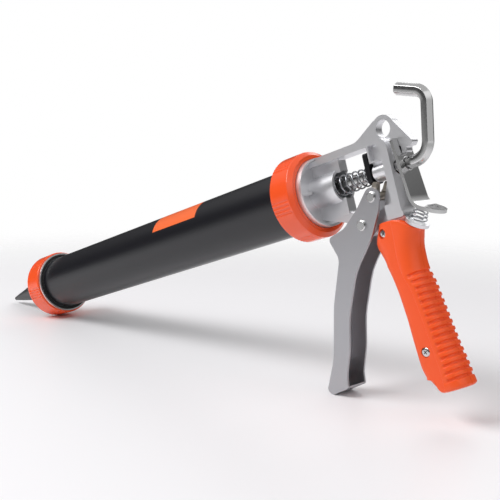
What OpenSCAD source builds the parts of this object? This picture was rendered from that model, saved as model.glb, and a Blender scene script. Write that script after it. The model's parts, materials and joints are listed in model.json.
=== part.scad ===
// Sausage and cartridge caulking gun with a closed aluminium barrel.
// Every piece is drawn in the gun's own frame: u runs back along the barrel axis, w is sideways
// and v is up from the axis. Zero is on the axis, in the rear face of the rear nut.
// gun() then tips the whole gun nose down until it stands on the front ring and the trigger tip.

/* [Barrel] */
// Inside diameter of the barrel
bore_d = 50; // [46:0.5:54]
// Wall of the barrel tube
barrel_wall = 1; // [0.8:0.1:1.6]
// Length of the barrel tube
barrel_len = 380; // [300:5:400]
// Wall of the threaded sleeves fixed on the barrel's ends
sleeve_wall = 2.1; // [1.8:0.1:3]
// Length of the front threaded sleeve
front_sleeve_len = 15; // [12:1:20]
// How far the bright collar behind the front ring stands out from the tube
collar_height = 4.4; // [3.5:0.1:5.4]
// Thickness of that collar
collar_t = 2.4; // [1.6:0.2:4]

/* [Front ring and nozzle] */
// Wall of the front ring outside its thread
ring_wall = 3.6; // [3:0.1:6]
// Length of the front ring
ring_len = 21; // [18:0.5:26]
// How far the front lip reaches in over the nozzle's base
ring_lip = 4.6; // [3:0.2:8]
// Thickness of the front lip
ring_lip_t = 3; // [2:0.2:4]
// Pitch of the ring's thread
thread_pitch = 4; // [2:0.5:6]
// Length of the nozzle cone
nozzle_len = 86; // [50:1:100]
// Radius of the nozzle cone at its base
nozzle_base_r = 16.5; // [12:0.5:18]
// Radius of the nozzle's tip
nozzle_tip_r = 2; // [1.6:0.1:4]
// Wall of the nozzle
nozzle_wall = 1.2; // [0.8:0.1:1.6]
// Thickness of the nozzle's base plate
nozzle_plate_t = 2.6; // [2:0.2:4]
// Thickness of the sealing washer behind the base plate
seal_t = 1.4; // [1:0.1:2]

/* [Rear nut] */
// Wall of the rear nut outside its thread
nut_wall = 5.4; // [3.6:0.1:6]
// Length of the rear nut
nut_len = 21.7; // [20:0.1:28]
// Thickness of the lip that holds the frame's flange
nut_lip_t = 3.4; // [2.5:0.1:5]
// Number of groups of grip grooves round the nut and the ring
grip_groups = 6; // [4:1:8]
// Grooves in a group
grip_grooves = 4; // [3:1:5]
// Depth of a grip groove
grip_depth = 0.5; // [0.3:0.1:0.8]

/* [Frame casting] */
// Thickness of the casting's middle web
web_t = 7; // [5:0.5:9]
// Width of the rails round the window
rail_w = 16; // [14:0.5:17]
// Thickness of the top rail
rail_t = 4; // [3:0.5:5]
// Thickness of the rear bar
rear_bar_t = 6.5; // [5:0.5:8]
// Radius of the flange that turns in the rear nut
flange_r = 29; // [28:0.2:29.4]
// Thickness of that flange
flange_t = 4.4; // [3:0.2:6]
// Radius of the dish rim that stands out of the rear nut
dish_r = 26.8; // [25:0.1:27.2]
// Wall of the dish rim
dish_wall = 1.6; // [1.2:0.1:3]
// How far the dish rim stands out behind the rear nut
dish_out = 5; // [3:0.5:7]
// Radius of the front hub
hub_r = 12.4; // [11:0.1:14]
// Rear end of the front hub
hub_end_u = 23.5; // [20:0.5:27]
// Radius of the spring pocket in the front hub
pocket_r = 10.6; // [9:0.1:10.8]
// Radius of the rear rod boss
boss_r = 6.6; // [6:0.1:8]
// Radius of the hanging hole
hang_r = 6.3; // [5:0.1:7]
// Radius of the lug round the hanging hole
lug_r = 9.7; // [8.5:0.1:12]

/* [Rod and piston] */
// Hexagon rod, across flats
rod_af = 8; // [6:0.5:9]
// Thickness of each piston disc
piston_disc_t = 2; // [1.5:0.5:4]
// Length of the rubber piston cup
piston_cup_len = 9; // [6:0.5:14]
// Bend radius of the hook's lower bend
hook_low_r = 14; // [10:0.5:16]
// Bend radius of the hook's upper bend
hook_top_r = 9; // [7:0.5:12]

/* [Trigger] */
// Width of the trigger channel
trigger_w = 21; // [19.5:0.5:24]
// Sheet thickness of the trigger
trigger_t = 1.6; // [1.2:0.1:2]
// Travel of the trigger in degrees
trigger_swing = 28; // [10:1:28]
// Radius of the two trigger rivets
rivet_r = 2.5; // [2:0.1:3]
// Radius of the rivet heads
rivet_head_r = 4; // [3.2:0.1:5]
// Height of the rivet heads
rivet_head_h = 1.5; // [1:0.1:2]

/* [Drive and release plates] */
// Thickness of the drive plate
drive_plate_t = 4; // [3:0.2:4.4]
// Width of the drive plate
drive_plate_w = 14; // [11:0.5:16]
// Thickness of the release plate
release_t = 2.5; // [2:0.1:3]
// Width of the release plate
release_w = 20; // [17:0.5:22]
// Lean of the release plate from upright in degrees
release_lean = 6; // [4:0.5:8]
// Wire radius of the drive spring
drive_wire_r = 0.65; // [0.5:0.05:0.8]
// Turns of the drive spring
drive_turns = 8; // [6:1:10]
// Wire radius of the release spring
release_wire_r = 0.5; // [0.4:0.05:0.7]
// Turns of the release spring
release_turns = 4; // [3:1:5]

/* [Grip] */
// Width of the ribbed back of the grip
grip_back_w = 26; // [23:0.5:30]
// Width of the smooth front of the grip
grip_front_w = 22; // [20:0.5:24]
// Depth of the grip's ribs
rib_depth = 1; // [0.6:0.1:1.4]
// Number of grooves across the grip's back
rib_count = 15; // [12:1:16]
// Radius of the grip screws' shanks
screw_r = 2; // [1.5:0.1:2.5]
// Radius of the grip screws' heads
screw_head_r = 3.4; // [3:0.1:4]

/* [Hidden] */

$fn = 64;
gap = 0.3;            // between bodies that pass each other
run = 0.05;           // radial clearance of a pin in its bore
fit = 0.2;            // between pieces of one body that are only put together

// Barrel
bore_r = bore_d / 2;
tube_r = bore_r + barrel_wall;
sleeve_r = tube_r + sleeve_wall;
flange_u = -nut_lip_t - gap;              // rear face of the turning flange
tube_rear_u = flange_u - flange_t - gap;
tube_front_u = tube_rear_u - barrel_len;
nut_r = sleeve_r + fit + nut_wall;
rear_sleeve_len = nut_len - nut_lip_t - 2 * gap - flange_t;

// Front ring and nozzle
ring_r = sleeve_r + gap + ring_wall;
seal_front_u = tube_front_u - gap - seal_t;
plate_front_u = seal_front_u - nozzle_plate_t;
ring_front_u = plate_front_u - gap - ring_lip_t;
ring_rear_u = ring_front_u + ring_len;
collar_u = ring_rear_u + gap;
nozzle_plate_r = sleeve_r;
ring_edge = 1;
nozzle_tip_u = plate_front_u - nozzle_len;
ring_off = collar_u - tube_front_u;       // travel that takes the ring off its thread

// Rod
rod_r = rod_af / 2 / cos(30);
rod_hole_r = rod_r + gap;
piston_front_u = tube_front_u + 5;
piston_disc_r = bore_r - 0.7;
piston_cup_r = bore_r - gap;
piston_rear_r = bore_r - 3;
cup_u = piston_front_u + piston_disc_t;
rear_disc_u = cup_u + piston_cup_len;
nut_af = 13;
piston_nut_h = 6.5;
washer_u = rear_disc_u + piston_disc_t;
washer_t = 1.6;
piston_nut_u = washer_u + washer_t;
stud_r = 4;
rod_front_u = piston_nut_u + piston_nut_h;
rod_travel = tube_rear_u - rod_front_u - 2;

// Frame casting, side view in u and v
window_top_v = 19.5;
rail_top_v = window_top_v + rail_t;
bar_u = 69;
bar_back_u = bar_u + rear_bar_t;
hook_low = [bar_back_u + 26.9, 0];
hook_top = [bar_back_u + 37.1, 43];
hook_end = [bar_back_u + 13.7, 52.6];
boss_front_u = 57.2;
lug_c = [bar_u + 3.8, 28.7];
pivot_c = [40.3, -33.7];
pivot_boss_r = 9;
seat_c = [bar_back_u + 6, -40.2];
seat_r = 9;
seat_t = 2.5;
spring_lean = 50;                         // release spring's axis, up from u

// Release plate
release_pivot = [bar_back_u + 7, 9.5];
release_top_v = 18.6;
release_bend_v = -24;
tongue_angle = -35;
tongue_len = 22;
bend_r = 12;

// Trigger and drive
drive_c = [54.5, -16.1];
nose_c = [58.5, -8.2];
nose_r = 2;
fork_r = 3.4;
fork_in = 4.9;
trigger_in = trigger_w / 2 - trigger_t;
plate_back_u = nose_c[0] - nose_r - 2 * gap;
plate_bottom_v = -7.3;
plate_top_v = 16;
spring_seat_u = 8;

// Standing pose
tip_c = [-23.4, -149.2];
tip_r = 2;
edge_c = [ring_front_u + ring_edge, -ring_r + ring_edge];
stand = tip_c - edge_c;
rest_tilt = atan2(-stand[1], stand[0]) + asin((tip_r - ring_edge) / norm(stand));
grip_bottom_v = -160;
stand_z = tip_r - (sin(rest_tilt) * tip_c[0] + cos(rest_tilt) * tip_c[1]);
back_low = [92.2, -157];
back_low_r = 3;
x_max = cos(rest_tilt) * back_low[0] - sin(rest_tilt) * back_low[1] + back_low_r;
x_min = cos(rest_tilt) * nozzle_tip_u - sin(rest_tilt) * nozzle_tip_r;
stand_x = -(x_min + x_max) / 2;

// Places a module that is drawn in the gun's own frame.
module gun() {
    translate([stand_x, 0, stand_z]) rotate([0, -rest_tilt, 0]) children();
}

// Extrudes a u-v outline sideways, t wide about y.
module side(t, y = 0) {
    translate([0, y, 0]) rotate([90, 0, 0]) linear_extrude(height = t, center = true) children();
}

// Cylinder along the barrel axis from u0 to u1.
module axial(u0, u1, r, r2 = undef) {
    translate([u0, 0, 0]) rotate([0, 90, 0]) cylinder(h = u1 - u0, r1 = r, r2 = is_undef(r2) ? r : r2);
}

// Ring along the barrel axis.
module axial_ring(u0, u1, r_out, r_in) {
    difference() {
        axial(u0, u1, r_out);
        axial(u0 - 1, u1 + 1, r_in);
    }
}

// Cylinder across the gun through a u-v point.
module cross(c, r, y0, y1) {
    translate([c[0], y1, c[1]]) rotate([90, 0, 0]) cylinder(h = y1 - y0, r = r);
}

function unit(p) = p / norm(p);
function arc(c, r, a0, a1, n = 8) = [for (i = [0:n]) let (a = a0 + (a1 - a0) * i / n) c + r * [cos(a), sin(a)]];

// Points that round the corner at p1 with radius r.
function corner(p0, p1, p2, r) =
    let (
        a = unit(p0 - p1),
        b = unit(p2 - p1),
        half = acos(a * b) / 2,
        c = p1 + unit(a + b) * r / sin(half),
        s = p1 + a * r / tan(half) - c,
        e = p1 + b * r / tan(half) - c,
        a0 = atan2(s[1], s[0]),
        turn = (atan2(e[1], e[0]) - a0 + 540) % 360 - 180,
        n = max(2, ceil(abs(turn) / 14))
    )
    [for (i = [0:n]) c + r * [cos(a0 + turn * i / n), sin(a0 + turn * i / n)]];

// Outline from corners [u, v] or [u, v, radius].
function rounded(path) = [
    for (i = [0:len(path) - 1])
        let (
            n = len(path),
            flat = function(q) [q[0], q[1]],
            p = path[i]
        )
        each (len(p) == 2 ? [p] : corner(flat(path[(i + n - 1) % n]), flat(p), flat(path[(i + 1) % n]), p[2]))
];

// Grip grooves cut along the outside of a nut or ring.
module grip_cuts(r, u0, u1) {
    for (g = [0:grip_groups - 1], k = [0:grip_grooves - 1]) {
        a = 12 + g * 360 / grip_groups + (k - (grip_grooves - 1) / 2) * 5;
        rotate([a - 90, 0, 0]) translate([u0, 0, r + 1.5 - grip_depth]) rotate([0, 90, 0])
            cylinder(h = u1 - u0, r = 1.5, $fn = 24);
    }
}

// Barrel

module barrel_tube() color([0.13, 0.13, 0.15]) gun() axial_ring(tube_front_u, tube_rear_u, tube_r, bore_r);

module front_sleeve() color("silver") gun() difference() {
    union() {
        axial(tube_front_u, collar_u + collar_t, sleeve_r);
        axial(collar_u, collar_u + collar_t, tube_r + collar_height);
    }
    axial(tube_front_u - 1, collar_u + collar_t + 1, tube_r);
}

module rear_sleeve() color("silver") gun()
    axial_ring(tube_rear_u - rear_sleeve_len, tube_rear_u, sleeve_r, tube_r);

module rear_nut() color([0.95, 0.27, 0.12]) gun() difference() {
    rotate([0, 90, 0]) rotate_extrude() polygon(rounded([
        [tube_r, -nut_len], [nut_r, -nut_len, 1.2], [nut_r, -3, 1], [nut_r - 3.4, 0, 0.6], [tube_r, 0]
    ]));
    axial(-nut_len - 1, flange_u - flange_t - gap, sleeve_r);
    axial(flange_u - flange_t - gap - 0.01, -nut_lip_t, flange_r + gap);
    axial(-nut_lip_t - 1, 1, dish_r + gap);
    grip_cuts(nut_r, -nut_len - 1, -4);
}

// Front ring and nozzle

module front_ring() color([0.95, 0.27, 0.12]) gun() difference() {
    rotate([0, 90, 0]) rotate_extrude() polygon(rounded([
        [ring_r - ring_wall, ring_rear_u], [ring_r, ring_rear_u, 1], [ring_r, ring_front_u, ring_edge],
        [nozzle_plate_r - ring_lip, ring_front_u, 1], [nozzle_plate_r - ring_lip, ring_rear_u]
    ]));
    axial(ring_front_u + ring_lip_t, ring_rear_u + 1, sleeve_r + gap);
    grip_cuts(ring_r, ring_front_u + 3, ring_rear_u + 1);
}

module nozzle() color([0.12, 0.12, 0.13]) gun() difference() {
    union() {
        axial(plate_front_u, seal_front_u, nozzle_plate_r);
        axial(nozzle_tip_u, plate_front_u + 0.01, nozzle_tip_r, nozzle_base_r);
        axial(plate_front_u - 2.5, plate_front_u + 0.01, nozzle_base_r, nozzle_base_r + 2);
    }
    axial(nozzle_tip_u - 0.01, plate_front_u, nozzle_tip_r - nozzle_wall, nozzle_base_r - nozzle_wall);
    axial(plate_front_u - 0.01, seal_front_u + 1, nozzle_base_r - nozzle_wall);
}

module nozzle_seal() color([0.2, 0.2, 0.2]) gun()
    axial_ring(seal_front_u, seal_front_u + seal_t, tube_r + 1, nozzle_base_r - nozzle_wall + 2);

// Frame casting

web_side = rounded([
    [flange_u, -20], [flange_u, 26.2], [46, 26.2, 14], [bar_u - 3.5, 36.2, 4], [lug_c[0], lug_c[1] + 9],
    [bar_back_u + 5.1, 33.8, 3], [bar_back_u + 19.3, 13.4, 1.5], [bar_back_u + 16.5, 10.6, 1],
    [bar_back_u + 13.1, 11.2, 1.5], [bar_back_u + 12.7, 7.2, 1.6], [bar_back_u + 8.8, 7.2, 1],
    [bar_back_u + 8.8, 13.6, 1], [bar_back_u + 2.1, 13.6, 1], [bar_back_u, 9], [bar_back_u, -35.15, 1],
    [bar_back_u + 11.9, -45.15, 0.5], [bar_back_u + 10.5, -47.2, 0.5], [bar_back_u - 1.8, -37.6],
    [73.2, -157.6, 3], [64.8, -157.6, 2], [62, -62, 20],
    [53, -48, 5], [53, -36], [40, -36], [31, -36, 6], [22, -28, 10]
]);
window_side = rounded([
    [27, -22, 3], [27, window_top_v, 1.5], [bar_u, window_top_v, 4], [bar_u, -24.6, 2],
    [bar_u - 9, -24.6, 4], [bar_u - 19, -29, 4], [bar_u - 23, -24.8, 3], [bar_u - 33, -24.8, 6]
]);
rail_side = rounded([
    [flange_u, window_top_v], [bar_u, window_top_v, 4], [bar_u, -24.6, 1],
    [bar_u - 7, -24.6, 1], [bar_u - 7, -35.4, 2], [bar_back_u + 2, -35.4, 2], [bar_back_u, -30, 8],
    [bar_back_u, rail_top_v, 9], [flange_u, rail_top_v]
]);

module cast_frame() color([0.8, 0.8, 0.82]) gun() difference() {
    union() {
        // Turning flange and the dish behind it
        axial(flange_u - flange_t, flange_u, flange_r);
        axial_ring(flange_u - 0.5, dish_out, dish_r, dish_r - dish_wall);
        axial(flange_u - 0.5, -1, dish_r - 0.5);
        // Front hub, its side ribs and the gussets to the rail
        axial(flange_u, hub_end_u, hub_r);
        for (y = [-1, 1]) translate([-2, y * (hub_r + dish_r) / 2 - (dish_r - hub_r) / 2, -1.2])
            cube([5.5, dish_r - hub_r - 1, 2.4]);
        side(9) polygon([[20.5, -22], [20.5, window_top_v + 1], [27, window_top_v + 1], [27, -22]]);
        // Middle web with the window, lug and jaw
        side(web_t) difference() {
            union() {
                polygon(web_side);
                translate(lug_c) circle(lug_r);
                translate(pivot_c) circle(pivot_boss_r);
            }
            polygon(window_side);
        }
        // Rails and rear bar
        side(rail_w) polygon(rail_side);
        // Rear rod boss and the angle rib over it
        axial(boss_front_u, bar_u + 1, boss_r);
        side(rail_w - 1) polygon([
            [boss_front_u, window_top_v + 0.5], [boss_front_u, boss_r + 0.6], [bar_u + 1, boss_r + 0.6],
            [bar_u + 1, boss_r + 2], [boss_front_u + 1.6, boss_r + 2], [boss_front_u + 1.6, window_top_v + 0.5]
        ]);
        side(web_t) polygon([
            [boss_front_u, window_top_v + 1], [boss_front_u, 2], [bar_u + 1, 2], [bar_u + 1, window_top_v + 1]
        ]);
        side(web_t) polygon([
            [bar_u - 9, -20], [bar_u - 9, -26], [bar_u + 1, -26], [bar_u + 1, -4], [bar_u - 3, -8]
        ]);
        // Trigger pivot boss
        cross(pivot_c, 7, -(trigger_in - gap), trigger_in - gap);
        // Seat of the release spring
        translate([seat_c[0], 0, seat_c[1]]) rotate([0, 90 - spring_lean, 0])
            translate([0, 0, -seat_t]) cylinder(h = seat_t, r = seat_r);
    }
    axial(flange_u - flange_t - 1, bar_back_u + 1, rod_hole_r);
    axial(spring_seat_u, 28, pocket_r);
    cross(lug_c, hang_r, -web_t, web_t);
    cross(pivot_c, rivet_r + run, -trigger_w, trigger_w);
    for (c = [screw_hi, screw_lo]) cross(c, screw_r + fit, -web_t, web_t);
}

// Trigger

trigger_side = rounded(concat(
    arc(drive_c, 6.8, 134, -20, 12),
    [
        [57.8, -27, 10], [46.5, -44.2, 25], [25, -65.5, 50], [9, -97, 60], [2.4, -121, 40], [-5.6, -139, 20],
        [-6.9, -148.2, 2], [tip_c[0], tip_c[1] - tip_r - 0.4, tip_r], [-28, -147.5, 3], [-14.8, -125, 50],
        [-3, -86, 70], [12.4, -53, 9], [6, -36.2, 3.2], [23, -32.4, 14], [38.5, -21.8, 14]
    ]
));

module trigger() color([0.66, 0.66, 0.68]) gun() difference() {
    side(trigger_w) polygon(trigger_side);
    side(2 * trigger_in) translate([2.2, 1.7]) polygon(trigger_side);
    side(2 * trigger_in) polygon([[0, -38], [12.5, -44], [70, -44], [70, 0], [0, 0]]);
    cross(drive_c, rivet_r + run, -trigger_w, trigger_w);
    cross(pivot_c, rivet_r + run, -trigger_w, trigger_w);
}

// Rivet across the trigger with a low domed head at each end.
module rivet(c) {
    cross(c, rivet_r, -trigger_w / 2 - 0.5, trigger_w / 2 + 0.5);
    for (y = [-1, 1]) translate([c[0], y * trigger_w / 2, c[1]]) rotate([-90 * y, 0, 0]) {
        cylinder(h = rivet_head_h * 0.6, r = rivet_head_r);
        translate([0, 0, rivet_head_h * 0.6])
            cylinder(h = rivet_head_h * 0.4, r1 = rivet_head_r, r2 = rivet_head_r - 0.8);
    }
}

module trigger_pivot() color([0.7, 0.7, 0.72]) gun() rivet(pivot_c);
module drive_rivet() color([0.7, 0.7, 0.72]) gun() rivet(drive_c);

// Hull of two circles as an exact outline.
module link(c1, r1, c2, r2) {
    d = c2 - c1;
    a = atan2(d[1], d[0]);
    b = acos((r1 - r2) / norm(d));
    translate(c1) circle(r1);
    translate(c2) circle(r2);
    polygon([
        c1 + r1 * [cos(a + b), sin(a + b)], c2 + r2 * [cos(a + b), sin(a + b)],
        c2 + r2 * [cos(a - b), sin(a - b)], c1 + r1 * [cos(a - b), sin(a - b)]
    ]);
}

module drive_fork() color([0.55, 0.5, 0.45]) gun() difference() {
    union() {
        for (y = [-1, 1]) side(trigger_in - fork_in, y * (trigger_in + fork_in) / 2)
            link(drive_c, fork_r, nose_c, nose_r);
        cross(drive_c, fork_r, -fork_in - 0.5, fork_in + 0.5);
    }
    cross(drive_c, rivet_r + run, -trigger_w, trigger_w);
}

module drive_plate() color([0.1, 0.1, 0.11]) gun() difference() {
    translate([plate_back_u - drive_plate_t, 0, 0]) rotate([90, 0, 90]) linear_extrude(height = drive_plate_t)
        polygon(rounded([
            [-drive_plate_w / 2, plate_bottom_v, 4], [drive_plate_w / 2, plate_bottom_v, 4],
            [drive_plate_w / 2, plate_top_v, 2], [-drive_plate_w / 2, plate_top_v, 2]
        ]));
    axial(0, bar_u, rod_hole_r);
}

// Springs: a round wire swept along a cone of turns about the z axis.
function coil(r0, r1, h, turns, steps) = [
    for (i = [0:turns * steps])
        let (f = i / (turns * steps), a = 360 * i / steps, r = r0 + (r1 - r0) * f)
        [r * cos(a), r * sin(a), h * f]
];

module wire(path, r, sides = 6) {
    n = len(path);
    points = [
        for (i = [0:n - 1])
            let (
                t = unit(path[min(i + 1, n - 1)] - path[max(i - 1, 0)]),
                x = unit(cross([0, 0, 1], t)),
                y = cross(t, x)
            )
            for (k = [0:sides - 1])
                path[i] + r * (cos(360 * k / sides) * x + sin(360 * k / sides) * y)
    ];
    faces = concat(
        [[for (k = [0:sides - 1]) k]],
        [for (i = [0:n - 2], k = [0:sides - 1])
            [i * sides + k, (i + 1) * sides + k, (i + 1) * sides + (k + 1) % sides, i * sides + (k + 1) % sides]],
        [[for (k = [sides - 1:-1:0]) (n - 1) * sides + k]]
    );
    polyhedron(points, faces);
}

module drive_spring() color([0.75, 0.76, 0.78]) gun()
    translate([spring_seat_u + drive_wire_r + 0.05, 0, 0]) rotate([0, 90, 0])
        wire(coil(8, 6.2, plate_back_u - drive_plate_t - spring_seat_u - 2 * drive_wire_r - 0.1, drive_turns, 18),
            drive_wire_r);

// Release plate: flat fork, bend and dished tongue

module release_plate() color([0.78, 0.77, 0.74]) gun()
    translate([release_pivot[0], 0, release_pivot[1]]) rotate([0, -release_lean, 0]) difference() {
        union() {
            flat_top = release_top_v - release_pivot[1];
            flat_low = release_bend_v - release_pivot[1];
            translate([-release_t / 2, 0, 0]) rotate([90, 0, 90]) linear_extrude(height = release_t)
                polygon(rounded([
                    [-release_w / 2, flat_low], [release_w / 2, flat_low],
                    [release_w / 2, flat_top, 2], [-release_w / 2, flat_top, 2]
                ]));
            translate([bend_r, 0, flat_low]) rotate([90, 0, 0]) rotate([0, 0, 180])
                translate([0, 0, -release_w / 2]) rotate_extrude(angle = 90 + tongue_angle)
                    translate([bend_r - release_t / 2, 0]) square([release_t, release_w]);
            translate([bend_r, 0, flat_low]) rotate([0, -tongue_angle, 0]) {
                translate([0, 0, -bend_r - release_t / 2]) linear_extrude(height = release_t) difference() {
                    union() {
                        translate([tongue_len - release_w / 2 - 8, 0]) circle(release_w / 2);
                        translate([0, -release_w / 2]) square([tongue_len - release_w / 2 - 8, release_w]);
                    }
                    translate([4.5, 0]) circle(3.6);
                }
            }
        }
        // Rod hole and the open fork that straddles the casting's arm
        rotate([0, release_lean, 0]) translate([0, 0, -release_pivot[1]]) axial(-10, 10, rod_hole_r + 0.4);
        translate([-5, -(web_t / 2 + gap), 13 - release_pivot[1]]) cube([10, web_t + 2 * gap, 20]);
    }

module release_spring() color([0.75, 0.76, 0.78]) gun()
    translate([seat_c[0], 0, seat_c[1]]) rotate([0, 90 - spring_lean, 0])
        translate([0, 0, release_wire_r + 0.05]) wire(coil(6.5, 4, 9.2, release_turns, 18), release_wire_r);

// Rod and piston

// Centre line of the hexagon rod from the piston's nut to the end of the hook.
function rod_line() =
    let (
        up = atan2(hook_top[1] - hook_low[1], hook_top[0] - hook_low[0]),
        back = atan2(hook_end[1] - hook_top[1], hook_end[0] - hook_top[0]),
        low_c = hook_low + hook_low_r * [-tan(up / 2), 1],
        reach = hook_top_r * tan((back - up) / 2),
        top_c = hook_top - reach * [cos(up), sin(up)] + hook_top_r * [-sin(up), cos(up)]
    )
    concat(
        [[rod_front_u, 0]],
        arc(low_c, hook_low_r, -90, up - 90, 9),
        arc(top_c, hook_top_r, up - 90, back - 90, 11),
        [hook_end]
    );

// Hexagon bar swept along a u-v line, flats to the sides.
module hex_bar(line, r) {
    n = len(line);
    points = [
        for (i = [0:n - 1])
            let (t = unit(line[min(i + 1, n - 1)] - line[max(i - 1, 0)]))
            for (k = [0:5])
                [line[i][0] - r * cos(60 * k) * t[1], r * sin(60 * k), line[i][1] + r * cos(60 * k) * t[0]]
    ];
    walls = [
        for (i = [0:n - 2], k = [0:5])
            let (a = i * 6 + k, b = i * 6 + (k + 1) % 6)
            each [[a, b + 6, a + 6], [a, b, b + 6]]
    ];
    polyhedron(points, concat(walls, [[5, 4, 3, 2, 1, 0], [for (k = [0:5]) (n - 1) * 6 + k]]));
}

module plunger_rod() color([0.8, 0.8, 0.8]) gun() {
    hex_bar(rod_line(), rod_r);
    axial(piston_front_u - 4, rod_front_u + 0.5, stud_r);
}

module piston_front_disc() color("silver") gun()
    axial_ring(piston_front_u, piston_front_u + piston_disc_t, piston_disc_r, stud_r);

module piston_cup() color([0.15, 0.15, 0.15]) gun() difference() {
    axial(cup_u, rear_disc_u, piston_cup_r);
    axial(cup_u - 1, rear_disc_u + 1, stud_r);
}

module piston_rear_disc() color("silver") gun()
    axial_ring(rear_disc_u, washer_u, piston_rear_r, stud_r);

module piston_washer() color("silver") gun() axial_ring(washer_u, piston_nut_u, 8, stud_r);

module piston_nut() color("silver") gun() difference() {
    translate([piston_nut_u, 0, 0]) rotate([0, 90, 0]) cylinder(h = piston_nut_h, r = nut_af / 2 / cos(30), $fn = 6);
    axial(piston_nut_u - 1, piston_nut_u + piston_nut_h + 1, stud_r);
}

// Grip

screw_hi = [56, -43.6];
screw_lo = [70.4, -130.6];
front_line = [
    [-160, 66], [-144, 61.2], [-124, 59.8], [-103, 58.8], [-84, 56.6], [-72, 54.2], [-63, 51], [-56, 46],
    [-50.5, 44], [-46, 45.4], [-42, 47.8], [-38, 49.8], [-35, 50.6]
];
back_line = [
    [-160, 95.2], [-143, 92.4], [-127, 88.7], [-110, 85], [-87, 80.8], [-72, 77.8], [-57, 78.6], [-50, 81],
    [-45, 84.6]
];
split_line = [
    [-160, 80.5], [-143, 80.2], [-122, 77.6], [-102, 74.8], [-83, 71.6], [-76, 68], [-64, 65.5], [-35, 68]
];
foot_step_u = 71.4;
grip_top = [
    [52, -35.7], [bar_back_u - 3.5, -36.2], [bar_back_u - 0.9, -38.6], [bar_back_u + 11.3, -49],
    [bar_back_u + 19.5, -56]
];
grip_foot = [[foot_step_u, -150.4], [foot_step_u + 2, -158.6], [foot_step_u + 2.6, -160]];
top_from_v = -52;
rib_top_v = -72;
foot_from_v = -148;
rib_pitch = (rib_top_v - foot_from_v) / rib_count;

// Half section of the grip, closed along the seam. vf and vb are the heights that set its front and its back.
function grip_section(vf, vb, groove, inset) =
    let (
        f = lookup(vf, front_line) + inset,
        b = lookup(vb, back_line) - inset - groove,
        s = lookup(vb, split_line),
        hf = grip_front_w / 2 - inset,
        hb = lookup(vb, [[-78, grip_back_w / 2], [-58, grip_front_w / 2 + 0.8], [-30, grip_front_w / 2]]) - inset,
        hg = max(hf + 0.01, hb - groove),
        ru = lookup(vf, [[-66, 6], [-56, 14]]),
        rw = lookup(vf, [[-66, 6], [-56, 10]]),
        rb = min(10, b - s - 0.6)
    )
    concat(
        [[f, 0]],
        [for (i = [0:4]) let (a = 90 * i / 4) [f + ru - ru * cos(a), hf - rw + rw * sin(a)]],
        [for (k = [0.4, 0.7]) [f + ru + (s - 1.2 - f - ru) * k, hf]],
        [[s - 1.2, hf], [s, hg]],
        [for (i = [0:5]) let (a = 90 * i / 5) [b - rb + rb * sin(a), hg - rb + rb * cos(a)]],
        [[b, 0], [foot_step_u + 2.6, 0], [foot_step_u, 0]]
    );

// Rings up the grip: share t of the way to the foot (-) or the top (+), height between, groove, inset.
grip_rings = concat(
    [[-1, 0, 0, 2.2], [-0.93, 0, 0, 0.8], [-0.8, 0, 0, 0], [-0.4, 0, 0, 0]],
    [for (i = [0:rib_count - 1], k = [0:3])
        [0, foot_from_v + rib_pitch * (i + [0.1, 0.3, 0.65, 0.85][k]), [0, 1, 1, 0][k] * rib_depth, 0]],
    [for (v = [-69, -65, -61, -58, -55, top_from_v]) [0, v, 0, 0]],
    [for (t = [0.2, 0.45, 0.7, 0.94]) [t, 0, 0, 0], [1, 0, 0, 0.6]]
);

function grip_ring(ring, half) =
    let (
        t = ring[0],
        vf = t < 0 ? foot_from_v - t * (-151 - foot_from_v) : t > 0 ? top_from_v + t * 16.5 : ring[1],
        vb = t < 0 ? foot_from_v - t * (-160 - foot_from_v) : t > 0 ? top_from_v + t * 6 : ring[1]
    )
    [
        for (p = grip_section(vf, vb, ring[2], ring[3]))
            let (v = t < 0 ? foot_from_v - t * (lookup(p[0], grip_foot) - foot_from_v)
                : t > 0 ? top_from_v + t * (lookup(p[0], grip_top) - top_from_v) : ring[1])
            [p[0], half * p[1], v]
    ];

// One half of the grip. half is 1 for the +w side and -1 for the -w side.
module grip_shell(half) {
    m = len(grip_section(0, 0, 0, 0));
    n = len(grip_rings);
    points = [for (ring = grip_rings) each grip_ring(ring, half)];
    walls = [
        for (i = [0:n - 2], k = [0:m - 1])
            let (a = i * m + k, b = i * m + (k + 1) % m)
            each [[a, b, b + m], [a, b + m, a + m]]
    ];
    cap = concat(
        [[6, 17, 18], [8, 16, 17]],
        [for (k = [0:5]) [k, k + 1, 18]],
        [for (k = [6:7]) [k, k + 1, 17]],
        [for (k = [8:14]) [k, k + 1, 16]]
    );
    faces = concat(
        walls,
        [for (f = cap) [f[0], f[1], f[2]] + [1, 1, 1] * (n - 1) * m],
        [for (f = cap) [f[2], f[1], f[0]]]
    );
    difference() {
        polyhedron(points, half > 0 ? faces : [for (f = faces) [f[2], f[1], f[0]]]);
        side(web_t + 2 * fit) polygon([
            [52.4, -20], [52.4, -50], [61.2, -62], [63.6, -170], [74.9, -170], [74.9, -20]
        ]);
        cross(screw_lo, screw_r + fit, -20, 20);
        cross(screw_hi, screw_r + fit, -20, 20);
        cross(screw_hi, screw_head_r + fit, half > 0 ? 7 : -20, half > 0 ? 20 : -7);
        cross(screw_lo, screw_head_r + fit, half > 0 ? 9.6 : -20, half > 0 ? 20 : -9.6);
    }
}

module left_grip() color([0.98, 0.32, 0.13]) gun() grip_shell(-1);
module right_grip() color([0.98, 0.32, 0.13]) gun() grip_shell(1);

module grip_screws() color("silver") gun() {
    screw(screw_hi, 7, 5);
    screw(screw_lo, 9.6, 9);
}

// Screw from the left side with its head seated y_head from the seam.
module screw(c, y_head, y_end) {
    cross(c, screw_r, -y_head, y_end);
    cross(c, screw_head_r, -y_head - 1.6, -y_head);
}

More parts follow.
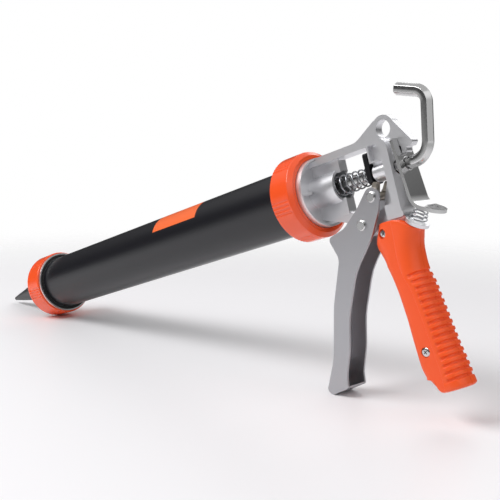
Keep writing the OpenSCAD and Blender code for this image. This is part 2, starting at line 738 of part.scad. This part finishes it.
barrel_tube();
front_sleeve();
rear_sleeve();
rear_nut();
front_ring();
nozzle();
nozzle_seal();
cast_frame();
left_grip();
right_grip();
grip_screws();
trigger_pivot();
trigger();
drive_rivet();
drive_fork();
drive_plate();
drive_spring();
release_plate();
release_spring();
plunger_rod();
piston_front_disc();
piston_cup();
piston_rear_disc();
piston_washer();
piston_nut();
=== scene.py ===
"""Dresses the caulking gun: finer grip, springs, hook, screws and sticker, finishes, studio and camera."""

import json
import math

import bmesh
import bpy
from mathutils import Matrix, Vector


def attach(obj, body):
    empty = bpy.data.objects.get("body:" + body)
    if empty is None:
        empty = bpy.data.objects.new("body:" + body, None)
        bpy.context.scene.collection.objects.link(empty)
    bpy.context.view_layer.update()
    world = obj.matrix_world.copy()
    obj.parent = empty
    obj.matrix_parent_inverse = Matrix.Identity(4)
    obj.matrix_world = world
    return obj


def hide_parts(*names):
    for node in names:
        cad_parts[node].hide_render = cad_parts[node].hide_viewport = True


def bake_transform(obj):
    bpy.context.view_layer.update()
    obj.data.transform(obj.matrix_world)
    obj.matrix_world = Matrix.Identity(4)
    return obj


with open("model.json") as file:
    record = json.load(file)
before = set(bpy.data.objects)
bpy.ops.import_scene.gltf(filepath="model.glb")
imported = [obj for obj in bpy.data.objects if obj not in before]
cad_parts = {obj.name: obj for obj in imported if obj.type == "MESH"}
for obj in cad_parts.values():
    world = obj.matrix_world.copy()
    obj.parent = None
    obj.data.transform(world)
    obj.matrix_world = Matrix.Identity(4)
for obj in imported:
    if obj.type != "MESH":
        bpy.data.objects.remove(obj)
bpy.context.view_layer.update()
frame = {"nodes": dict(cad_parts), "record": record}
nodes = frame["nodes"]
joints = {j["name"]: j for j in frame["record"]["behaviour"]["joints"]}

# The gun's own frame, in metres: u back along the barrel, w to the right, v up from the barrel's axis.
axis = Vector(joints["barrel_turn"]["axis"])
origin = Vector(joints["barrel_turn"]["pos_m"])
to_row = Matrix((axis, (0, 1, 0), Vector((-axis.z, 0, axis.x)))).transposed()
MM = 0.001


def at(u, w, v):
    """A point of the gun's own frame, in millimetres, as a point of the row frame in metres."""
    return origin + to_row @ (Vector((u, w, v)) * MM)


def lookup(x, table):
    """Straight-line interpolation in a table of (x, value), held at its ends."""
    if x <= table[0][0]:
        return table[0][1]
    for (x0, y0), (x1, y1) in zip(table, table[1:]):
        if x <= x1:
            return y0 + (y1 - y0) * (x - x0) / (x1 - x0)
    return table[-1][1]


def make(name, verts, faces, smooth=35):
    """A mesh from points of the gun's own frame. Edges sharper than smooth degrees stay hard."""
    mesh = bpy.data.meshes.new(name)
    mesh.from_pydata([at(*p) for p in verts], [], faces)
    mesh.validate()
    bm = bmesh.new()
    bm.from_mesh(mesh)
    bmesh.ops.recalc_face_normals(bm, faces=bm.faces)
    bm.to_mesh(mesh)
    bm.free()
    obj = bpy.data.objects.new(name, mesh)
    bpy.context.collection.objects.link(obj)
    shade(obj, smooth)
    return obj


def shade(obj, angle):
    """Smooth faces, with hard edges where two faces meet at more than angle degrees."""
    obj.data.polygons.foreach_set("use_smooth", [True] * len(obj.data.polygons))
    bm = bmesh.new()
    bm.from_mesh(obj.data)
    for e in bm.edges:
        e.smooth = len(e.link_faces) == 2 and e.calc_face_angle(0) < math.radians(angle)
    bm.to_mesh(obj.data)
    bm.free()


def sweep(path, r, sides=12, closed_ends=True):
    """Tube round a line of points, as (verts, faces)."""
    path = [Vector(p) for p in path]
    verts, faces = [], []
    side = None
    for i, p in enumerate(path):
        t = (path[min(i + 1, len(path) - 1)] - path[max(i - 1, 0)]).normalized()
        if side is None:
            side = t.orthogonal().normalized()
        side = (side - t * side.dot(t)).normalized()
        up = t.cross(side)
        for k in range(sides):
            a = math.tau * k / sides
            verts.append(p + r * (math.cos(a) * side + math.sin(a) * up))
    for i in range(len(path) - 1):
        for k in range(sides):
            a, b = i * sides + k, i * sides + (k + 1) % sides
            faces.append((a, b, b + sides, a + sides))
    if closed_ends:
        faces.append(tuple(range(sides))[::-1])
        faces.append(tuple(range((len(path) - 1) * sides, len(path) * sides)))
    return verts, faces


def turned(profile, sides=96, start=0.0, end=360.0):
    """Surface of revolution about the barrel's axis from (u, radius) points, as (verts, faces)."""
    full = end - start >= 360
    steps = sides if full else sides + 1
    verts, faces = [], []
    for i in range(steps):
        a = math.radians(start + (end - start) * i / sides)
        verts += [(u, r * math.cos(a), r * math.sin(a)) for u, r in profile]
    n = len(profile)
    for i in range(sides):
        j = (i + 1) % steps
        for k in range(n - 1):
            faces.append((i * n + k, j * n + k, j * n + k + 1, i * n + k + 1))
    return verts, faces


# Finishes


def material(name, color, metallic=0.0, rough=0.4, coat=0.0, grain=0.0, grain_scale=400.0, spread=0.0):
    """Principled finish with a fine procedural bump and a slight change of roughness over the surface."""
    m = bpy.data.materials.new(name)
    m.use_nodes = True
    tree = m.node_tree
    bsdf = tree.nodes["Principled BSDF"]
    bsdf.inputs["Base Color"].default_value = (*color, 1)
    bsdf.inputs["Metallic"].default_value = metallic
    bsdf.inputs["Roughness"].default_value = rough
    bsdf.inputs["Coat Weight"].default_value = coat
    bsdf.inputs["Coat Roughness"].default_value = 0.12
    coords = tree.nodes.new("ShaderNodeTexCoord")
    noise = tree.nodes.new("ShaderNodeTexNoise")
    noise.inputs["Scale"].default_value = grain_scale
    noise.inputs["Detail"].default_value = 3
    tree.links.new(coords.outputs["Object"], noise.inputs["Vector"])
    if grain:
        bump = tree.nodes.new("ShaderNodeBump")
        bump.inputs["Strength"].default_value = grain
        bump.inputs["Distance"].default_value = 0.0002
        tree.links.new(noise.outputs["Fac"], bump.inputs["Height"])
        tree.links.new(bump.outputs["Normal"], bsdf.inputs["Normal"])
    if spread:
        span = tree.nodes.new("ShaderNodeMapRange")
        span.inputs["To Min"].default_value = max(0.02, rough - spread)
        span.inputs["To Max"].default_value = rough + spread
        tree.links.new(noise.outputs["Fac"], span.inputs["Value"])
        tree.links.new(span.outputs["Result"], bsdf.inputs["Roughness"])
    return m


FINISH = {
    "orange_plastic": material("orange_plastic", (0.96, 0.098, 0.018), rough=0.24, coat=0.35, grain=0.04, spread=0.04),
    "black_anodised": material("black_anodised", (0.008, 0.008, 0.011), rough=0.30, grain=0.06, spread=0.04),
    "bright_aluminium": material("bright_aluminium", (0.86, 0.87, 0.88), metallic=1, rough=0.3, spread=0.05),
    "cast_aluminium": material("cast_aluminium", (0.80, 0.80, 0.82), metallic=0.9, rough=0.38, grain=0.12,
                               grain_scale=900, spread=0.05),
    "orange_grip": material("orange_grip", (0.97, 0.103, 0.014), rough=0.40, grain=0.08, grain_scale=1200, spread=0.04),
    "plated_steel": material("plated_steel", (0.64, 0.64, 0.64), metallic=1, rough=0.2, spread=0.03),
    "trigger_steel": material("trigger_steel", (0.50, 0.50, 0.52), metallic=0.95, rough=0.40, grain=0.10,
                              grain_scale=1400, spread=0.04),
    "black_oxide": material("black_oxide", (0.015, 0.015, 0.017), metallic=0.6, rough=0.35, spread=0.05),
    "hardened_steel": material("hardened_steel", (0.42, 0.38, 0.33), metallic=1, rough=0.35, spread=0.05),
    "spring_steel": material("spring_steel", (0.42, 0.43, 0.45), metallic=1, rough=0.24, spread=0.03),
    "black_plastic": material("black_plastic", (0.016, 0.016, 0.018), rough=0.38, grain=0.05),
    "black_rubber": material("black_rubber", (0.012, 0.012, 0.012), rough=0.6, grain=0.15),
}
STICKER = material("sticker", (0.95, 0.16, 0.035), rough=0.35, coat=0.3, grain=0.03, spread=0.05)
SLOT = {s["node"]: s["material_slot"] for s in frame["record"]["subparts"]}


def finish(obj, name):
    obj.data.materials.clear()
    obj.data.materials.append(FINISH[name])


# The sizes below are in millimetres in the gun's own frame.
WEB = 7.4
GRIP_FRONT_W, GRIP_BACK_W = 22, 26
FRONT = [(-160, 66), (-144, 61.2), (-124, 59.8), (-103, 58.8), (-84, 56.6), (-72, 54.2), (-63, 51), (-56, 46),
         (-50.5, 44), (-46, 45.4), (-42, 47.8), (-38, 49.8), (-35, 50.6)]
BACK = [(-160, 95.0), (-143, 92.4), (-127, 88.7), (-110, 85), (-87, 80.8), (-72, 77.8), (-57, 78.6), (-50, 81),
        (-45, 84.6)]
SPLIT = [(-160, 80.5), (-143, 80.2), (-122, 77.6), (-102, 74.8), (-83, 71.6), (-76, 68), (-64, 65.5), (-35, 68)]
SLOT_FRONT = [(-170, 63.6), (-62, 61.2), (-50, 52.4), (-35, 52.4)]
SLOT_BACK = 74.9
TOP = [(52, -35.7), (72, -36.2), (74.6, -38.6), (86.8, -49), (95, -56)]
FOOT = [(71.4, -150.4), (72.9, -156.4), (73.7, -158.4), (75, -159.6), (77, -160), (95, -158)]
TOP_FROM, FOOT_FROM, RIB_TOP, RIBS, RIB_DEPTH = -52, -151.5, -72, 16, 1.25
RIB_TILT, RIB_REACH = 0.2, 13  # fall per mm towards the front, and how far from the back the ribs reach
FOOT_LIFT = 6.1  # how much higher the last ring is at the grip's front than at its back


def smooth_table(table, width=3.0):
    """The same table with its corners eased, for a moulded surface."""
    lo, hi = table[0][0], table[-1][0]
    n = 60
    out = []
    for i in range(n + 1):
        x = lo + (hi - lo) * i / n
        span = min(width, x - lo, hi - x)
        out.append((x, sum(lookup(x + span * (k - 4) / 4, table) for k in range(9)) / 9))
    return out


FRONT_S, BACK_S, SPLIT_S = smooth_table(FRONT), smooth_table(BACK, 5), smooth_table(SPLIT)
SIDE_POINTS, ARC_POINTS = 12, 22
# Rings past the ribs, as (share of the way to the foot or the top, inset that rounds the edge)
FOOT_RINGS = ((-1, 2.2), (-0.98, 1.6), (-0.945, 1.1), (-0.9, 0.8), (-0.83, 0.35), (-0.73, 0.05), (-0.5, 0), (-0.25, 0))
TOP_RINGS = ((0.15, 0), (0.3, 0), (0.45, 0), (0.6, 0), (0.75, 0), (0.88, 0), (0.95, 0.1), (0.985, 0.35), (1, 0.8))


def grip_section(vf, vb, groove, inset):
    """Outline of one shell as (u, w), from the front round the outside and back along the slot. vf and vb are the
    heights at which the front and the back are looked up, and groove is how deep the rib's pocket is."""
    f = lookup(vf, FRONT_S) + inset
    b = lookup(vb, BACK_S) - inset
    s = lookup(vb, SPLIT_S)
    hf = GRIP_FRONT_W / 2 - inset
    hb = lookup(vb, [(-78, GRIP_BACK_W / 2), (-58, GRIP_FRONT_W / 2 + 0.8), (-30, GRIP_FRONT_W / 2)]) - inset
    hg = max(hf + 0.01, hb)
    ru = lookup(vf, [(-66, 6), (-56, 14)])
    rw = lookup(vf, [(-66, 6), (-56, 10)])
    rb = min(10, b - s - 0.6)
    sf = lookup(vf, SLOT_FRONT)
    out = [(f, 0.12)]
    for i in range(13):
        a = math.radians(90 * i / 12)
        out.append((f + ru - ru * math.cos(a), max(0.3, hf - rw + rw * math.sin(a))))
    for k in range(1, SIDE_POINTS):
        out.append((f + ru + (s - 1.2 - f - ru) * k / SIDE_POINTS, hf))
    for k in range(5):
        e = k / 4
        out.append((s - 1.2 + 1.2 * e, hf + (hg - hf) * (3 * e * e - 2 * e * e * e)))
    flat = b - rb - s
    for i in range(ARC_POINTS):
        a = math.radians(90 * i / (ARC_POINTS - 1))
        e = max(0.0, min(1.0, (flat + rb * a - 2.6) / 1.8))
        r = rb - groove * (3 * e * e - 2 * e * e * e)
        out.append((b - rb + r * math.sin(a), hg - rb + r * math.cos(a)))
    out += [(b - groove, 0.12), (SLOT_BACK, 0.12), (SLOT_BACK, WEB / 2), (sf, WEB / 2), (sf, 0.12)]
    return out


def level(u, v):
    """Height at u of the ring that meets the grip's back at v. The ribs fall towards the front, and the foot's front
    ends higher than its back."""
    back = lookup(v, BACK_S)
    drop = RIB_TILT * lookup(v, [(-72, 1), (-60, 0)]) * max(0.0, back - max(u, back - RIB_REACH))
    return v - drop + lookup(v, [(FOOT_FROM, FOOT_LIFT), (-100, 0)]) * lookup(u, [(66, 1), (79, 0)])


def grip(side):
    """One grip shell. side is -1 for the left and 1 for the right."""
    rings = []
    for t, inset in FOOT_RINGS:
        rings.append((t, 0, 0, inset))
    pitch = (RIB_TOP - FOOT_FROM) / RIBS
    for i in range(RIBS):
        for k in range(12):
            e = k / 12
            depth = min(1.0, max(0.0, math.sin(math.tau * (e - 0.02)) * 1.1 + 0.30))
            rings.append((0, FOOT_FROM + pitch * (i + e), RIB_DEPTH * (3 * depth**2 - 2 * depth**3), 0))
    for v in (-72, -70, -68, -66, -64, -62, -60, -58, -56, -54, TOP_FROM):
        rings.append((0, v, 0, 0))
    for t, inset in TOP_RINGS:
        rings.append((t, 0, 0, inset))
    verts = []
    for t, v, groove, inset in rings:
        vf = FOOT_FROM + t * (151 + FOOT_FROM) if t < 0 else TOP_FROM + t * 16.5 if t > 0 else v
        vb = FOOT_FROM + t * (160 + FOOT_FROM) if t < 0 else TOP_FROM + t * 6 if t > 0 else v
        for u, w in grip_section(vf, vb, groove, inset):
            if t < 0:
                h = level(u, FOOT_FROM) - t * (lookup(u, FOOT) - level(u, FOOT_FROM))
            elif t > 0:
                h = TOP_FROM + t * (lookup(u, TOP) - TOP_FROM)
            else:
                h = level(u, v)
            verts.append((u, side * w, h))
    m = len(verts) // len(rings)
    faces = []
    for i in range(len(rings) - 1):
        for k in range(m):
            a, b = i * m + k, i * m + (k + 1) % m
            faces.append((a, b, b + m, a + m))
    last = m - 1
    strip = []
    inner_f, slot_f, slot_b, inner_b = last, last - 1, last - 2, last - 3
    strip += [(0, 1, inner_f), (1, slot_f, inner_f)]
    strip += [(k, k + 1, slot_f) for k in range(1, 17)]
    strip.append((17, slot_b, slot_f))
    strip += [(k, k + 1, slot_b) for k in range(17, last - 5)]
    strip += [(last - 5, inner_b, slot_b), (last - 5, last - 4, inner_b)]
    top = (len(rings) - 1) * m
    faces += [tuple(i + top for i in f) for f in strip] + [f[::-1] for f in strip]
    return make("grip_left" if side < 0 else "grip_right", verts, faces, 40)


def drill(obj, u, v, r, w0, w1):
    """A round hole across the gun, cut for good."""
    bm = bmesh.new()
    bmesh.ops.create_cone(bm, cap_ends=True, segments=48, radius1=r * MM, radius2=r * MM, depth=(w1 - w0) * MM)
    mesh = bpy.data.meshes.new("drill")
    bm.to_mesh(mesh)
    bm.free()
    tool = bpy.data.objects.new("drill", mesh)
    tool.matrix_world = Matrix.Translation(at(u, (w0 + w1) / 2, v)) @ Matrix.Rotation(math.pi / 2, 4, "X")
    bpy.context.collection.objects.link(tool)
    bpy.context.view_layer.update()
    mod = obj.modifiers.new("drill", "BOOLEAN")
    mod.object = tool
    mod.operation = "DIFFERENCE"
    mod.solver = "EXACT"
    done = bpy.data.meshes.new_from_object(obj.evaluated_get(bpy.context.evaluated_depsgraph_get()))
    obj.modifiers.clear()
    obj.data = done
    bpy.data.objects.remove(tool)


SCREW_HI, SCREW_LO = (56, -43.6), (70.4, -130.6)
SCREW_HOLE_R = 3.6

for side, node in ((-1, "left_grip"), (1, "right_grip")):
    g = grip(side)
    out = -20 if side < 0 else 7
    drill(g, *SCREW_HI, SCREW_HOLE_R, out, out + 13)
    out = -20 if side < 0 else 9.6
    drill(g, *SCREW_LO, SCREW_HOLE_R, out, out + 10.4)
    shade(g, 40)
    finish(g, SLOT[node])
    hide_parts(node)
    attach(g, "frame")


def screw(u, v, w_head, w_end):
    """Pan-head screw, head towards the left. The dark cross on its head is painted shade, drawn apart."""
    verts, faces = [], []
    profile = [(0, 3.0), (-0.35, 3.35), (-1.0, 3.3), (-1.45, 2.7), (-1.6, 2.0), (-1.62, 0.0)]
    n = len(profile)
    sides = 48
    for i in range(sides):
        a = math.tau * i / sides
        for dw, r in profile:
            verts.append((u + r * math.cos(a), -w_head + dw, v + r * math.sin(a)))
    for i in range(sides):
        j = (i + 1) % sides
        for k in range(n - 1):
            faces.append((i * n + k, j * n + k, j * n + k + 1, i * n + k + 1))
    base = len(verts)
    for w in (-w_head, w_end):
        for i in range(24):
            a = math.tau * i / 24
            verts.append((u + 1.95 * math.cos(a), w, v + 1.95 * math.sin(a)))
    for i in range(24):
        j = (i + 1) % 24
        faces.append((base + i, base + j, base + 24 + j, base + 24 + i))
    faces.append(tuple(base + 24 + i for i in range(24)))
    return verts, faces


def cross_shade_inlay(u, v, w):
    """Painted shade for the cross in a screw's head: a thin dark inlay standing a hair proud of the head's middle, in
    place of a hollow cut into it.
    """
    verts, faces = [], []
    for angle in (35, 125):
        c, s = math.cos(math.radians(angle)), math.sin(math.radians(angle))
        base = len(verts)
        for along, across in ((-1.7, -0.3), (1.7, -0.3), (1.7, 0.3), (-1.7, 0.3)):
            verts.append((u + along * c - across * s, w, v + along * s + across * c))
        faces.append((base, base + 1, base + 2, base + 3))
    return verts, faces


parts, quads = [], []
for (u, v), head, end in ((SCREW_HI, 7, 5), (SCREW_LO, 9.6, 9)):
    a, b = screw(u, v, head, end)
    quads += [tuple(i + len(parts) for i in f) for f in b]
    parts += a
screws = make("grip_screw_heads", parts, quads, 40)
finish(screws, SLOT["grip_screws"])
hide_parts("grip_screws")
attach(screws, "frame")
crosses = []
for (u, v), head in ((SCREW_HI, 7), (SCREW_LO, 9.6)):
    # Each head's cross is painted shade: a dark sheet where the hollow of the cross would be in shadow
    x = make("screw_cross_painted_shade", *cross_shade_inlay(u, v, -head - 1.66))
    finish(x, "black_oxide")
    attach(x, "frame")


# Springs, wound smoothly round the same lines as the plain ones.
def coil(start, along, side, r0, r1, length, turns, lead=None):
    """Points of a conical coil. lead maps the share of turns to the share of length."""
    start, along, side = Vector(start), Vector(along).normalized(), Vector(side)
    up = along.cross(side)
    steps = int(turns * 40)
    out = []
    for i in range(steps + 1):
        f = i / steps
        a = math.tau * turns * f
        r = r0 + (r1 - r0) * f
        h = length * (lead(f) if lead else f)
        out.append(start + along * h + side * (r * math.cos(a)) + up * (r * math.sin(a)))
    return out


def dead_ends(f):
    """Closed first and last turns, open ones between."""
    return max(0.0, min(1.0, (f - 0.04) / 0.92))


DRIVE_WIRE_R, DRIVE_FROM, DRIVE_LENGTH = 0.65, 8.7, 42.3
drive = make("drive_spring_coil", *sweep(
    coil((DRIVE_FROM, 0, 0), (1, 0, 0), (0, 1, 0), 8.0, 6.2, DRIVE_LENGTH, 8, dead_ends), DRIVE_WIRE_R, 10), 60)
finish(drive, "spring_steel")
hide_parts("drive_spring")
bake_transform(drive)

RELEASE_SEAT, RELEASE_LEAN = (81.5, -40.2), math.radians(50)


def above_seat(d):
    """The point d millimetres from the middle of the release spring's seat, along the spring."""
    return RELEASE_SEAT[0] + d * math.cos(RELEASE_LEAN), 0, RELEASE_SEAT[1] + d * math.sin(RELEASE_LEAN)


release = make("release_spring_coil", *sweep(
    coil(above_seat(0.55), (math.cos(RELEASE_LEAN), 0, math.sin(RELEASE_LEAN)),
         (0, 1, 0), 6.5, 4.0, 9.2, 4, dead_ends), 0.5, 10), 60)
finish(release, "spring_steel")
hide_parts("release_spring")
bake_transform(release)


# Rod and hook: the same hexagon bar, with eased edges, finely stepped bends and a chamfered end
def bend(centre, r, a0, a1, steps):
    """Points of an arc from a0 to a1 degrees."""
    return [(centre[0] + r * math.cos(math.radians(a0 + (a1 - a0) * i / steps)),
             centre[1] + r * math.sin(math.radians(a0 + (a1 - a0) * i / steps))) for i in range(steps + 1)]


ROD_AF, STUD_END = 8, -387.4


def rod():
    """The hexagon bar bent into its hook, with the round stud that holds the piston."""
    low, top, end, low_r, top_r, front = (102.4, 0), (112.6, 43), (89.2, 52.6), 14, 9, -362.3
    rise = math.degrees(math.atan2(top[1] - low[1], top[0] - low[0]))
    back = math.degrees(math.atan2(end[1] - top[1], end[0] - top[0]))
    low_c = (low[0] - low_r * math.tan(math.radians(rise / 2)), low_r)
    reach = top_r * math.tan(math.radians((back - rise) / 2))
    c, n = math.cos(math.radians(rise)), math.sin(math.radians(rise))
    top_c = (top[0] - reach * c - top_r * n, top[1] - reach * n + top_r * c)
    tail = Vector(end) - Vector(bend(top_c, top_r, back - 90, back - 90, 1)[0])
    tail = Vector(end) - tail.normalized() * 0.5
    line = [(front, 0), (front + 0.5, 0)] + bend(low_c, low_r, -90, rise - 90, 32)
    line += bend(top_c, top_r, rise - 90, back - 90, 32) + [tuple(tail), end]
    flat_r = ROD_AF / 2 / math.cos(math.radians(30))
    ease = 0.75
    section = []
    for k in range(6):
        for d in (-9, -3, 3, 9):
            a = math.radians(60 * k + d * 1.6)
            section.append(((flat_r - ease) * math.cos(math.radians(60 * k)) + ease * math.cos(a),
                            (flat_r - ease) * math.sin(math.radians(60 * k)) + ease * math.sin(a)))
    m = len(section)
    verts, faces = [], []
    for i, (u, v) in enumerate(line):
        a, b = line[max(i - 1, 0)], line[min(i + 1, len(line) - 1)]
        t = Vector((b[0] - a[0], b[1] - a[1])).normalized()
        k = 0.87 if i in (0, len(line) - 1) else 1
        verts += [(u - x * k * t.y, y * k, v + x * k * t.x) for x, y in section]
    for i in range(len(line) - 1):
        for k in range(m):
            a, b = i * m + k, i * m + (k + 1) % m
            faces.append((a, b, b + m, a + m))
    faces += [tuple(range(m))[::-1], tuple(range(len(verts) - m, len(verts)))]
    base = len(verts)
    stud, steps = [(STUD_END, 3.4), (STUD_END + 0.6, 4.0), (front + 0.5, 4.0)], 40
    for u, r in stud:
        verts += [(u, r * math.cos(math.tau * k / steps), r * math.sin(math.tau * k / steps)) for k in range(steps)]
    for i in range(len(stud) - 1):
        for k in range(steps):
            a, b = base + i * steps + k, base + i * steps + (k + 1) % steps
            faces.append((a, b, b + steps, a + steps))
    faces += [tuple(range(base, base + steps))[::-1], tuple(range(len(verts) - steps, len(verts)))]
    return make("rod_and_hook", verts, faces, 28)


bar = rod()
finish(bar, SLOT["plunger_rod"])
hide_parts("plunger_rod")
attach(bar, "rod")


# Bright rim of the front sleeve's collar, and a flat black ring between it and the barrel: painted shade for the dark
# gap round the barrel
FACE, FRONT_EDGE, RIM_R, SHADE_R, BARREL_R = -372.3, -374.4, 30.4, 29.1, 26
PROUD = 0.03  # how far trim stands over the metal under it
rim = make("collar_rim", *turned([
    (FRONT_EDGE, RIM_R - 0.5), (FRONT_EDGE, RIM_R + PROUD), (FACE - 0.35, RIM_R + PROUD),
    (FACE + PROUD, RIM_R - 0.35), (FACE + PROUD, SHADE_R), (FACE - 0.1, SHADE_R), (FRONT_EDGE, RIM_R - 0.5)]), 30)
finish(rim, "bright_aluminium")
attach(rim, "barrel")
# Painted shade: a thin black annulus laid flush on the collar's face where the gap round the barrel falls into shadow
collar_shade = make("collar_painted_shade", *turned([
    (FACE - 0.1, BARREL_R + 0.06), (FACE + PROUD, BARREL_R + 0.06), (FACE + PROUD, SHADE_R),
    (FACE - 0.1, SHADE_R), (FACE - 0.1, BARREL_R + 0.06)]), 30)
finish(collar_shade, "black_rubber")
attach(collar_shade, "barrel")


# Bare sticker on the barrel
STICKER_FROM, STICKER_LENGTH, STICKER_EDGE, STICKER_WRAP = -183, 60, 152, 46


def sticker():
    r = BARREL_R + 0.04
    verts, faces = [], []
    nu, na = 24, 24
    for i in range(nu + 1):
        for k in range(na + 1):
            u = STICKER_FROM + STICKER_LENGTH * i / nu
            a = math.radians(STICKER_EDGE - STICKER_WRAP * k / na)
            verts.append((u, r * math.cos(a), r * math.sin(a)))
    for i in range(nu):
        for k in range(na):
            a = i * (na + 1) + k
            faces.append((a, a + 1, a + na + 2, a + na + 1))
    return make("sticker", verts, faces)


label = sticker()
finish(label, "orange_plastic")
label.data.materials[0] = STICKER
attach(label, "barrel")

# CAD pieces keep their shape and get small rounded edges
BEVEL = {
    "cast_frame": 0.55, "trigger": 0.35, "release_plate": 0.45, "drive_plate": 0.25, "drive_fork": 0.3,
    "front_sleeve": 0.3, "piston_nut": 0.3,
}
REPLACED = {"left_grip", "right_grip", "grip_screws", "drive_spring", "release_spring", "plunger_rod"}
for name, obj in nodes.items():
    if name in REPLACED:
        continue
    finish(obj, SLOT[name])
    width = BEVEL.get(name, 0)
    if width:
        mod = obj.modifiers.new("edges", "BEVEL")
        mod.width = width * MM
        mod.segments = 2
        mod.limit_method = "ANGLE"
        mod.angle_limit = math.radians(38)
        mod.use_clamp_overlap = True

# Studio
bpy.ops.mesh.primitive_plane_add(size=8, location=(0, 0, 0))
floor = bpy.context.object
floor.name = "floor"
white = material("floor", (0.90, 0.89, 0.91), rough=0.45)
floor.data.materials.append(white)
# Away from the gun the floor thins out into the white behind it
tree = white.node_tree
place = tree.nodes.new("ShaderNodeTexCoord")
far = tree.nodes.new("ShaderNodeVectorMath")
far.operation = "LENGTH"
fade = tree.nodes.new("ShaderNodeMapRange")
fade.interpolation_type = "SMOOTHSTEP"
fade.inputs["From Min"].default_value = 0.35
fade.inputs["From Max"].default_value = 0.95
clear = tree.nodes.new("ShaderNodeBsdfTransparent")
both = tree.nodes.new("ShaderNodeMixShader")
tree.links.new(place.outputs["Object"], far.inputs[0])
tree.links.new(far.outputs["Value"], fade.inputs["Value"])
tree.links.new(fade.outputs["Result"], both.inputs["Fac"])
tree.links.new(tree.nodes["Principled BSDF"].outputs["BSDF"], both.inputs[1])
tree.links.new(clear.outputs["BSDF"], both.inputs[2])
tree.links.new(both.outputs["Shader"], tree.nodes["Material Output"].inputs["Surface"])

world = bpy.data.worlds.new("studio")
bpy.context.scene.world = world
world.use_nodes = True
tree = world.node_tree
room = tree.nodes["Background"]
room.inputs["Color"].default_value = (1, 1, 1, 1)
room.inputs["Strength"].default_value = 0.62  # for reflections and light; the camera sees plain white
sky = tree.nodes.new("ShaderNodeTexCoord")
split = tree.nodes.new("ShaderNodeSeparateXYZ")
band = tree.nodes.new("ShaderNodeValToRGB")
stops = band.color_ramp.elements
stops[0].position, stops[0].color = 0.0, (1, 1, 1, 1)
stops[1].position, stops[1].color = 1.0, (1, 1, 1, 1)
# A dark band above the horizon gives the metals and the barrel their contrast
for height, grey in ((0.47, 0.85), (0.50, 0.07), (0.66, 0.10), (0.80, 0.9)):
    stop = stops.new(height)
    stop.color = (grey, grey, grey, 1)
scale = tree.nodes.new("ShaderNodeMapRange")
scale.inputs["From Min"].default_value = -1
tree.links.new(sky.outputs["Generated"], split.inputs["Vector"])
tree.links.new(split.outputs["Z"], scale.inputs["Value"])
tree.links.new(scale.outputs["Result"], band.inputs["Fac"])
tree.links.new(band.outputs["Color"], room.inputs["Color"])
backdrop = tree.nodes.new("ShaderNodeBackground")
backdrop.inputs["Color"].default_value = (1, 1, 1, 1)
seen = tree.nodes.new("ShaderNodeLightPath")
either = tree.nodes.new("ShaderNodeMixShader")
tree.links.new(seen.outputs["Is Camera Ray"], either.inputs["Fac"])
tree.links.new(room.outputs["Background"], either.inputs[1])
tree.links.new(backdrop.outputs["Background"], either.inputs[2])
tree.links.new(either.outputs["Shader"], tree.nodes["World Output"].inputs["Surface"])
bpy.context.scene.view_settings.view_transform = "Standard"


def lamp(name, place, aim, size, power):
    data = bpy.data.lights.new(name, "AREA")
    data.shape = "RECTANGLE"
    data.size, data.size_y = size
    data.energy = power
    obj = bpy.data.objects.new(name, data)
    obj.location = place
    obj.rotation_euler = (Vector(aim) - Vector(place)).to_track_quat("-Z", "Y").to_euler()
    bpy.context.collection.objects.link(obj)


lamp("key", (-0.5, -0.9, 1.3), (0, 0, 0.12), (1.2, 0.6), 19)
lamp("fill", (1.3, -0.1, 0.8), (0, 0, 0.12), (1.7, 1.7), 5)
lamp("back", (-0.4, 1.2, 1.0), (0, 0, 0.15), (1.4, 0.5), 4)

# The photographed view. The view transform keeps the orange saturated and the floor white.
camera = bpy.data.objects.new("camera", bpy.data.cameras.new("camera"))
camera.data.sensor_width = 36
camera.data.lens = 66.7
camera.location = origin + Vector((466.9, -531.6, 58.2)) * MM
camera.rotation_euler = (math.radians(90 - 8.22), 0, math.radians(45.67))
bpy.context.collection.objects.link(camera)
bpy.context.scene.camera = camera
